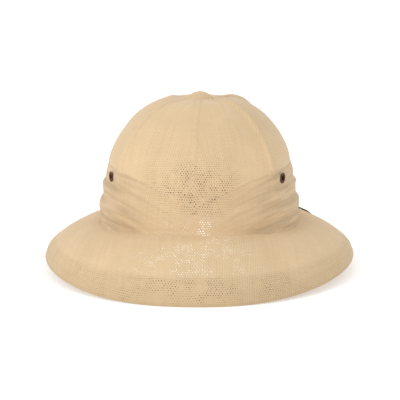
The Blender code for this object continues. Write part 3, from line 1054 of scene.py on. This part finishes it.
def make_band():
    angles, columns = even_round(BAND_COLUMNS)
    sections = []
    for angle in angles:
        foot = band_foot(angle)
        top = band_top(angle) + TOP_WANDER * round_noise(angle, 4.0, 0.0, 3.0)
        heights = [mix(foot, top, row / (BAND_ROWS - 1)) for row in range(BAND_ROWS)]
        places = [(height, band_offset(angle, height)) for height in heights]
        places[-1] = (top + TOP_ROUNDING, 0.3 * BAND_LAYER)
        heights = [mix(top, foot, row / (LINING_ROWS - 1)) for row in range(LINING_ROWS)]
        places += [(height, BAND_GAP / 2) for height in heights]
        sections.append([crown_at(angle, height) + outward(angle) * offset for height, offset in places])
    rings = [list(ring) for ring in zip(*sections)]
    girths = [1000 * lengths_round(ring)[-1] for ring in rings[:BAND_ROWS]]
    faces = [1000 * lengths_round(section[:BAND_ROWS])[-2] for section in sections]
    print(f"band: {min(girths):.0f} to {max(girths):.0f} mm round")
    print(f"its face: {min(faces):.0f} to {max(faces):.0f} mm wide")
    mesh = skin("puggaree_cloth", rings, homes_of(columns, (0, 90, 180, 270, 360)), close_section=True)
    values = {"soil": [], "open": [], "glint": []}
    for ring in rings:
        for angle, point in zip(angles, ring):
            down = (band_top(angle) - point.z) / PLEAT_PITCH
            lip = max(down, 0.0) % 1.0
            full = gathered(angle)
            front = bell(from_front(angle), BAND_OPEN_ARC)
            shade = bell(min(lip, 1 - lip), 0.16) if down > 0.5 else 0.0
            streak = round_layers(angle, down, STREAK_LAYERS)
            foot = bell(point.z - band_foot(angle), 0.006)
            # painted shade: over the band's pleated sides the colour is darkened, more in the hollow under
            # each lip and along the foot, and it fades out where the band is gathered at the front; noise
            # adds darker streaks
            soil = BAND_SHADE + LIP_SHADE * shade + STREAK_DARKENING * streak + BAND_FOOT_SHADOW * foot
            values["soil"].append(max(full * soil, 0.0))
            values["open"].append(mix(LEAST_BAND_OPEN, 1.0, front))
            # painted light: pale, glowing pinholes low on the band's front
            values["glint"].append(front * ease((band_foot(angle) + GLINT_TOP - point.z) / GLINT_FADE))
    set_values(mesh, **values)
    return show("puggaree_cloth", mesh)


band = make_band()
punch(band, cutter)
settle_cloth(band)
dress(band, band_straw)

# %% [markdown]
# ## Button
# A low button covered with the same cloth hides the point where the panels meet. Years of wear have settled
# it into the crown, so it is a soft lens: a short profile is swept round the axis, and the cloth is drawn in
# under its edge in small gathers.

# %% Button mesh
BUTTON_WIDTH = 0.0270
BUTTON_HEIGHT = 0.0055
BUTTON_EDGE = 0.0012
BUTTON_COLUMNS = 64
BUTTON_GATHERS = 16
GATHER_PULL = 0.00012
BUTTON_STEPS = 14
BUTTON_SETTLE = 0.0016


def make_button():
    half = BUTTON_WIDTH / 2
    shape = bmesh.new()
    layer = shape.loops.layers.uv.new("threads")
    base = CROWN_TOP + GAP
    rings = []
    for step in range(1, BUTTON_STEPS + 1):
        share = step / BUTTON_STEPS
        height = mix(-BUTTON_SETTLE, BUTTON_HEIGHT, (1 - share**2) ** 0.92)
        rings.append((half * share, height, share**4))
    rings += [(half - 0.3 * BUTTON_EDGE, -BUTTON_SETTLE - 0.2 * BUTTON_EDGE, 1.0), (0.8 * half, 0.0, 0.0)]
    loops = []
    for reach, height, gather in rings:
        ring = []
        for angle in even_round(BUTTON_COLUMNS)[0]:
            pulled = reach + GATHER_PULL * gather * cos(BUTTON_GATHERS * angle)
            ring.append(shape.verts.new((sin(angle) * pulled, -cos(angle) * pulled, base + height)))
        loops.append(ring)
    top = shape.verts.new((0, 0, base + BUTTON_HEIGHT))
    under = shape.verts.new((0, 0, base))
    for column in range(BUTTON_COLUMNS):
        after = (column + 1) % BUTTON_COLUMNS
        shape.faces.new((loops[0][column], loops[0][after], top))
        shape.faces.new((loops[-1][after], loops[-1][column], under))
        for upper, lower in zip(loops, loops[1:]):
            shape.faces.new((lower[column], lower[after], upper[after], upper[column]))
    for face in shape.faces:
        face.smooth = True
        for loop in face.loops:
            loop[layer].uv = loop.vert.co.xy
    mesh = mesh_of(shape, "button_cover")
    set_values(mesh, soil=0.15, open=0.15)
    return show("button_cover", mesh)


button = make_button()
dress(button, straw)

# %% [markdown]
# ## Bronze and leather
# The eyelets are bronze that has gone dark and a little blotchy. The strap is thin dark leather, with a fine
# pebbled grain and edges worn a little paler, where its attribute "edge" is high. Both read Object
# coordinates, so nothing depends on an unwrapping.

# %% Bronze and leather materials
def bronze_material():
    material, tree, shader = new_material("aged_bronze")
    shader["Metallic"].default_value = 0.85
    tarnish = noise_at(tree, object_place(tree), 900.0, 4.0)
    finish = {
        "Base Color": ramp(tree, tarnish, (0.070, 0.026, 0.015), (0.200, 0.092, 0.050), (0.35, 0.72)),
        "Roughness": span(tree, tarnish, 0.0, 1.0, 0.42, 0.70),
        "Normal": bump(tree, tarnish, 0.3, 0.0001),
    }
    wire(tree, shader, finish)
    return material


def leather_material():
    material, tree, shader = new_material("dark_leather")
    place = object_place(tree)
    grain = put(tree, "ShaderNodeTexVoronoi", {"Vector": place, "Scale": 1400.0}).outputs["Distance"]
    tone = noise_at(tree, place, 120.0, 3.0)
    toning = calc(tree, "MULTIPLY", attribute(tree, "edge"), tone)
    brown = ramp(tree, tone, (0.022, 0.016, 0.013), (0.060, 0.042, 0.030))
    finish = {
        "Base Color": blend(tree, toning, brown, (0.16, 0.10, 0.06, 1)),
        "Roughness": span(tree, tone, 0.0, 1.0, 0.42, 0.66),
        "Normal": bump(tree, grain, 0.35, 0.0002),
    }
    wire(tree, shader, finish)
    return material


bronze = bronze_material()
leather = leather_material()
print("materials:", bronze.name, leather.name)

# %% [markdown]
# ## Copies by rule
# The hat has two kinds of small equal parts, eyelets and stitches. A Geometry Nodes tree for each takes
# points or lines and puts one copy of a shape on every place. Both trees begin and end alike, so that part is
# here. Copying by hand would give the same hat once, but not after a change of pitch or size.

# %% Helpers for Geometry Nodes
def geometry_group(name, inputs):
    """A Geometry Nodes tree that takes points or lines, a material and the inputs given here."""
    inputs = [("Geometry", "Geometry", None), *inputs, ("Material", "Material", None)]
    return new_group(name, "GeometryNodeTree", inputs, [("Geometry", "Geometry")])


def transformed(tree, geometry, **moves):
    return put(tree, "GeometryNodeTransform", {"Geometry": geometry, **moves}).outputs["Geometry"]


def put_copies(tree, given, out, points, shape, facing, **more):
    """End a tree: one real copy of a shape on each point, its Z axis turned to a direction."""
    turn = put(tree, "FunctionNodeAlignRotationToVector", {"Vector": facing}, axis="Z")
    placed = {"Points": points, "Instance": shape, "Rotation": turn.outputs[0], **more}
    made = put(tree, "GeometryNodeInstanceOnPoints", placed)
    made = put(tree, "GeometryNodeRealizeInstances", {"Geometry": made.outputs[0]})
    made = put(tree, "GeometryNodeSetShadeSmooth", {"Geometry": made.outputs[0]})
    made = put(tree, "GeometryNodeSetMaterial", {"Geometry": made.outputs[0], "Material": given["Material"]})
    wire(tree, out, {"Geometry": made.outputs[0]})
    return tree


def apply_tree(piece, tree, values):
    """Put a tree on a piece, set its inputs by identifier, and keep what it makes as a plain mesh."""
    work = piece.modifiers.new(tree.name, "NODES")
    work.node_group = tree
    for item in tree.interface.items_tree:
        if item.in_out == "INPUT" and item.name in values:
            work[item.identifier] = values[item.name]
    settle(piece)


print("helpers:", geometry_group.__name__, put_copies.__name__, apply_tree.__name__)

# %% [markdown]
# ## Eyelets
# An eyelet is a short tube whose outer end is rolled into a flange and whose inner end is splayed. Geometry
# Nodes turn three small ovals round a circle and put one copy on each of four points. The four are alike,
# so a change to the flange changes them all. Each point carries the direction that its eyelet faces.

# %% Eyelet nodes
FLANGE_SIDES = 12
BARREL_SIDES = 8
FLANGE_PROUD = 0.0007
BARREL_DEPTH = 0.008


def turned_ring(tree, segments, middle, half_wide, half_tall, level, sides):
    """A ring with an oval section about the Z axis."""
    path = put(tree, "GeometryNodeCurvePrimitiveCircle", {"Resolution": segments, "Radius": middle})
    section = put(tree, "GeometryNodeCurvePrimitiveCircle", {"Resolution": sides, "Radius": 1.0})
    size = vector_of(tree, half_wide, half_tall, 1.0)
    shaped = transformed(tree, section.outputs["Curve"], Scale=size)
    swept = {"Curve": path.outputs["Curve"], "Profile Curve": shaped, "Fill Caps": False}
    ring = put(tree, "GeometryNodeCurveToMesh", swept)
    return transformed(tree, ring.outputs["Mesh"], Translation=vector_of(tree, 0.0, 0.0, level))


def build_eyelet_tree():
    inputs = [
        ("Hole", "Float", EYELET_HOLE / 2),
        ("Flange", "Float", EYELET_FLANGE / 2),
        ("Barrel Wall", "Float", BARREL_WALL),
        ("Proud", "Float", FLANGE_PROUD),
        ("Depth", "Float", BARREL_DEPTH),
        ("Segments", "Int", 40),
    ]
    tree, given, out = geometry_group("eyelets_on_points", inputs)
    hole = given["Hole"]
    flange = calc(tree, "MULTIPLY", calc(tree, "ADD", hole, given["Flange"]), 0.5)
    flange_wide = calc(tree, "MULTIPLY", calc(tree, "SUBTRACT", given["Flange"], hole), 0.5)
    half_wall = calc(tree, "MULTIPLY", given["Barrel Wall"], 0.5)
    half_depth = calc(tree, "MULTIPLY", given["Depth"], 0.5)
    half_proud = calc(tree, "MULTIPLY", given["Proud"], 0.5)
    barrel_level = calc(tree, "MULTIPLY", half_depth, -0.9)
    splay = calc(tree, "ADD", hole, half_proud)
    splay_tall = calc(tree, "MULTIPLY", half_proud, 0.5)
    splay_level = calc(tree, "MULTIPLY", given["Depth"], -0.92)
    rings = [
        (flange, flange_wide, half_proud, half_proud, FLANGE_SIDES),
        (calc(tree, "ADD", hole, half_wall), half_wall, half_depth, barrel_level, BARREL_SIDES),
        (splay, half_proud, splay_tall, splay_level, BARREL_SIDES),
    ]
    joined = put(tree, "GeometryNodeJoinGeometry")
    for ring in rings:
        tree.links.new(turned_ring(tree, given["Segments"], *ring), joined.inputs[0])
    facing = put(tree, "GeometryNodeInputNamedAttribute", {"Name": "facing"}, data_type="FLOAT_VECTOR")
    facing = facing.outputs["Attribute"]
    return put_copies(tree, given, out, given["Geometry"], joined.outputs[0], facing)


eyelet_tree = build_eyelet_tree()
print("tree:", eyelet_tree.name, "with", len(eyelet_tree.nodes), "nodes")


# %% Place the eyelets
def band_surface(angle, height):
    """How far the band's outer face stands out from the crown near a height."""
    steps = [share * EYELET_FLANGE / 2 for share in (-1, -0.5, 0, 0.5, 1)]
    return max(band_offset(angle, height + step) for step in steps)


def points_mesh(name, places, facings):
    mesh = bpy.data.meshes.new(name)
    mesh.from_pydata(places, [], [])
    carried = mesh.attributes.new("facing", "FLOAT_VECTOR", "POINT")
    carried.data.foreach_set("vector", [value for facing in facings for value in facing])
    return mesh


spots = []
for angle, (centre, axis) in zip(eyelet_angles, eyelet_spots):
    spots.append(centre + axis * (band_surface(angle, centre.z) + GAP))
eyelets = show("eyelet_rings", points_mesh("eyelet_rings", spots, [axis for centre, axis in eyelet_spots]))
apply_tree(eyelets, eyelet_tree, {"Material": bronze})
dress(eyelets)
print("eyelet set:", [round(side, 4) for side in eyelets.dimensions])

# %% [markdown]
# ## Chin strap
# A thin flat strap, sewn inside the crown at both sides, passes out under the brim and is put away over its
# back. The photograph shows only a short dark line of it. It is modelled directly, as a section carried along
# a route that keeps to the brim's surface, because a simulated strap would drift off its solid.

# %% The strap's route
STRAP_WIDTH = 0.008
STRAP_THICKNESS = 0.0012
STRAP_LIFT = 0.0005
STRAP_LIFT_UNDER = 0.0010
STRAP_STEPS = 5
HEM_WALL = 0.0032

StrapPoint = namedtuple("StrapPoint", "degrees out")
STRAP_UNDER = [
    StrapPoint(99, 0.03),
    StrapPoint(103, 0.20),
    StrapPoint(111, 0.40),
    StrapPoint(120, 0.58),
    StrapPoint(126, 0.74),
    StrapPoint(128, 0.86),
]
STRAP_OVER = [
    StrapPoint(128.5, 0.98),
    StrapPoint(128, 0.945),
    StrapPoint(126.8, 0.82),
    StrapPoint(124.5, 0.66),
    StrapPoint(122, 0.50),
    StrapPoint(120.5, 0.38),
    StrapPoint(122.5, 0.30),
    StrapPoint(131, 0.26),
    StrapPoint(143, 0.25),
    StrapPoint(155, 0.25),
    StrapPoint(167, 0.25),
    StrapPoint(180, 0.25),
]


def strap_stations():
    """Point on the hat and offset from it along half of the strap, from its sewn end."""
    down = Vector((0, 0, -1))
    start = radians(STRAP_UNDER[0].degrees)
    inward = -outward(start)
    root = seat_oval(start, CROWN_WALL + GAP + BRIM_WALL) + Vector((0, 0, seat_height(start)))
    stations = [(root - down * COLLAR_HEIGHT * share, inward * STRAP_LIFT_UNDER) for share in (1.0, 0.4)]
    stations.append((root + down * BRIM_WALL, (inward + down) * STRAP_LIFT_UNDER))
    for degrees, out in smooth_rows(STRAP_UNDER, 2):
        point, up = on_brim(radians(degrees), out)
        stations.append((point - up * BRIM_WALL, -up * STRAP_LIFT_UNDER))
    crossing = radians(mix(STRAP_UNDER[-1].degrees, STRAP_OVER[0].degrees, 0.5))
    hem_point, away = rim_point(crossing)
    hem_point.z = rim_height(crossing) + HEM_STAND
    rim = hem_point + down * HEM_STAND
    stations.append((hem_point - away * HEM_WALL, -away * STRAP_LIFT_UNDER))
    stations.append((rim - away * HEM_WALL, (down - away) * STRAP_LIFT_UNDER))
    stations.append((rim, (down + away) * STRAP_LIFT_UNDER))
    stations.append((hem_point, away * STRAP_LIFT_UNDER))
    for degrees, out in smooth_rows(STRAP_OVER, 3):
        point, up = on_brim(radians(degrees), out)
        stations.append((point, up * STRAP_LIFT))
    return stations


# %% [markdown]
# The section is a flat strip with rounded edges and a shallow groove near each of them, where it is creased.
# The table gives half of it, as shares of the strap's half width and of its thickness.

# %% Strap mesh
SectionPoint = namedtuple("SectionPoint", "across up")
STRAP_SECTION = [
    SectionPoint(0.00, 1.00),
    SectionPoint(0.66, 1.00),
    SectionPoint(0.76, 0.88),
    SectionPoint(0.86, 1.00),
    SectionPoint(0.96, 0.90),
    SectionPoint(1.00, 0.50),
    SectionPoint(0.96, 0.10),
    SectionPoint(0.80, 0.00),
    SectionPoint(0.00, 0.00),
]


def make_strap():
    half = strap_stations()
    flip = Vector((-1, 1, 1))
    whole = half + [(point * flip, offset * flip) for point, offset in reversed(half[:-1])]
    line = smooth_rows([(*(point + offset), *offset.normalized()) for point, offset in whole], STRAP_STEPS)
    section = STRAP_SECTION + [SectionPoint(-p.across, p.up) for p in reversed(STRAP_SECTION[1:-1])]
    shape = bmesh.new()
    loops = []
    length = 0.0
    for index, row in enumerate(line):
        before = Vector(line[max(index - 1, 0)][:3])
        after = Vector(line[min(index + 1, len(line) - 1)][:3])
        length += (Vector(row[:3]) - before).length
        up = Vector(row[3:]).normalized()
        across = (after - before).cross(up).normalized() * STRAP_WIDTH / 2
        low = Vector(row[:3])
        places = [low + across * p.across + up * STRAP_THICKNESS * p.up for p in section]
        loops.append([shape.verts.new(place) for place in places])
    count = len(section)
    for low, high in zip(loops, loops[1:]):
        for side in range(count):
            after = (side + 1) % count
            shape.faces.new((low[side], low[after], high[after], high[side])).smooth = True
    shape.faces.new(loops[0])
    shape.faces.new(reversed(loops[-1]))
    bmesh.ops.recalc_face_normals(shape, faces=shape.faces)
    mesh = mesh_of(shape, "strap_leather")
    set_values(mesh, edge=[abs(p.across) ** 6 for p in section] * len(line))
    print(f"strap: {length * 1000:.0f} mm long")
    return show("strap_leather", mesh)


strap = make_strap()
dress(strap, leather)

# %% [markdown]
# ## Stitches
# Two rows of thread hold each seam of the crown, and two more hold the hem. The script lays a line on the
# cloth for each row, and Geometry Nodes put one small stitch at every pitch along it. Doing it by hand would
# mean placing more than a thousand of them.

# %% Stitch nodes
def build_stitch_tree():
    inputs = [
        ("Pitch", "Float", 0.0026),
        ("Length", "Float", 0.0018),
        ("Thickness", "Float", 0.00042),
        ("Unevenness", "Float", 0.25),
        ("Seed", "Int", 7),
    ]
    tree, given, out = geometry_group("stitches_along_lines", inputs)
    thick = given["Thickness"]
    line = put(tree, "GeometryNodeMeshToCurve", {"Mesh": given["Geometry"]}).outputs[0]
    even = put(tree, "GeometryNodeResampleCurve", {"Curve": line, "Length": given["Pitch"]}, mode="LENGTH")
    points = put(tree, "GeometryNodeCurveToPoints", {"Curve": even.outputs[0]}, mode="EVALUATED").outputs
    bead = put(tree, "GeometryNodeMeshUVSphere", {"Segments": 6, "Rings": 5, "Radius": 0.5})
    size = vector_of(tree, thick, thick, given["Length"])
    stitch = transformed(tree, bead.outputs["Mesh"], Scale=size)
    draw = {2: calc(tree, "SUBTRACT", 1.0, given["Unevenness"]), 3: 1.1, "Seed": given["Seed"]}
    scale = put(tree, "FunctionNodeRandomValue", draw, data_type="FLOAT").outputs[1]
    return put_copies(tree, given, out, points["Points"], stitch, points["Tangent"], Scale=scale)


stitch_tree = build_stitch_tree()
print("tree:", stitch_tree.name, "with", len(stitch_tree.nodes), "nodes")

# %% [markdown]
# The thread is waxed cotton, close to the straw in colour, and a fine twist shows on it only from near by.

# %% Thread material
def thread_material():
    material, tree, shader = new_material("cotton_thread")
    shader["Roughness"].default_value = 0.7
    twist = noise_at(tree, object_place(tree), 700.0, 2.0)
    colour = ramp(tree, twist, (0.58, 0.42, 0.25), (0.84, 0.68, 0.46))
    wire(tree, shader, {"Base Color": colour, "Normal": bump(tree, twist, 0.3, 0.0001)})
    return material


thread = thread_material()
print("material:", thread.name)

# %% Stitch rows
HEM_ROW_STEPS = 240
STITCH_LIFT = 0.00008
SEAM_ROW_OFFSET = 0.0031
HEM_ROWS_OUT = (0.955, 0.885)


def surface_of(piece):
    """Nearest-point search on a finished piece."""
    mesh = piece.data
    return BVHTree.FromPolygons([v.co for v in mesh.vertices], [list(f.vertices) for f in mesh.polygons])


def lay_lines(name, lines, surface):
    """Mesh of edges that lie on a surface, lifted a little above it."""
    shape = bmesh.new()
    for line in lines:
        laid = []
        for point in line:
            place, normal, *_ = surface.find_nearest(point)
            laid.append(shape.verts.new(place + normal * STITCH_LIFT))
        for first, second in zip(laid, laid[1:]):
            shape.edges.new((first, second))
    return show(name, mesh_of(shape, name))


def seam_lines():
    lines = []
    for seam in SEAM_ANGLES[:-1]:
        for side in (-1, 1):
            line = []
            for row in CROWN_CURVE:
                point = crown_section(seam, *row)
                radius = point.xy.length
                if point.z > band_top(seam) + 0.002 and radius > BUTTON_WIDTH * 0.55:
                    line.append(crown_section(seam + side * SEAM_ROW_OFFSET / radius, *row))
            lines.append(line)
    return lines


def hem_lines():
    angles = even_round(HEM_ROW_STEPS)[0] + [tau]
    return [[on_brim(angle, out)[0] for angle in angles] for out in HEM_ROWS_OUT]


seam_stitches = lay_lines("seam_stitches", seam_lines(), surface_of(crown))
apply_tree(seam_stitches, stitch_tree, {"Material": thread})
dress(seam_stitches)
hem_stitches = lay_lines("hem_stitches", hem_lines(), surface_of(brim))
apply_tree(hem_stitches, stitch_tree, {"Material": thread, "Pitch": 0.0032, "Length": 0.0021})
dress(hem_stitches)

# %% [markdown]
# ## Floor and light
# The hat rests on a plain pale floor. The sky gives most of the light, and one large soft lamp above and to
# the left gives the gentle shade on the right of the crown and under the pleats that the photograph shows;
# painted shade in the straw's colour deepens it there.
# The floor glows a little, as a lit studio table does, so that it stays white.

# %% Floor, sky and lamps
FLOOR_HALF = 20.0
SKY_STRENGTH = 0.925
KEY_WATTS = 23.0
KEY_SIZE = 1.6
KEY_PLACE = (-2.0, -2.0, 1.7)
FLOOR_GLOW = 0.42
FLOOR_ALBEDO = 0.74


def make_floor():
    mesh = bpy.data.meshes.new("floor")
    corners = [(-1, -1), (1, -1), (1, 1), (-1, 1)]
    mesh.from_pydata([(x * FLOOR_HALF, y * FLOOR_HALF, 0) for x, y in corners], [], [(0, 1, 2, 3)])
    material, _, shader = new_material("pale_floor")
    shader["Base Color"].default_value = (FLOOR_ALBEDO, FLOOR_ALBEDO, FLOOR_ALBEDO, 1)
    shader["Roughness"].default_value = 0.9
    shader["Emission Color"].default_value = (1, 1, 1, 1)
    shader["Emission Strength"].default_value = FLOOR_GLOW
    mesh.materials.append(material)
    return show("floor", mesh)


def add_lamp(name, place, size, watts):
    lamp = bpy.data.lights.new(name, "AREA")
    lamp.size = size
    lamp.energy = watts
    piece = bpy.data.objects.new(name, lamp)
    bpy.context.scene.collection.objects.link(piece)
    piece.location = place
    piece.rotation_euler = (Vector(place) - aim).to_track_quat("Z", "Y").to_euler()
    return piece


make_floor()
add_lamp("key_lamp", KEY_PLACE, KEY_SIZE, KEY_WATTS)
sky = bpy.data.worlds.new("sky")
sky.use_nodes = True
sky.node_tree.nodes["Background"].inputs["Color"].default_value = (1, 1, 1, 1)
sky.node_tree.nodes["Background"].inputs["Strength"].default_value = SKY_STRENGTH
bpy.context.scene.world = sky
bpy.context.scene.view_settings.view_transform = "Standard"
print("sky", SKY_STRENGTH, "lamp", KEY_WATTS, "W")

# %% [markdown]
# ## The hat's body
# Each piece rides on the one body of the hat and stands for the solid that it replaces. The cutter was only a
# tool, so it goes. The dressed hat must not grow.

bpy.data.objects.remove(cutter)
pieces = [
    (crown, "straw", ("crown",)),
    (brim, "straw", ("brim",)),
    (hem, "straw", ("brim",)),
    (band, "band_straw", ("puggaree",)),
    (button, "straw", ("top_button",)),
    (eyelets, "aged_bronze", [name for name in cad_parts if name.startswith("eyelet")]),
    (strap, "dark_leather", ("chin_strap",)),
    (seam_stitches, "straw", ()),
    (hem_stitches, "straw", ()),
]
for piece, slot, nodes in pieces:
    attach(piece, "root")
    if nodes:
        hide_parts(*nodes)
print("pieces:", len(pieces))
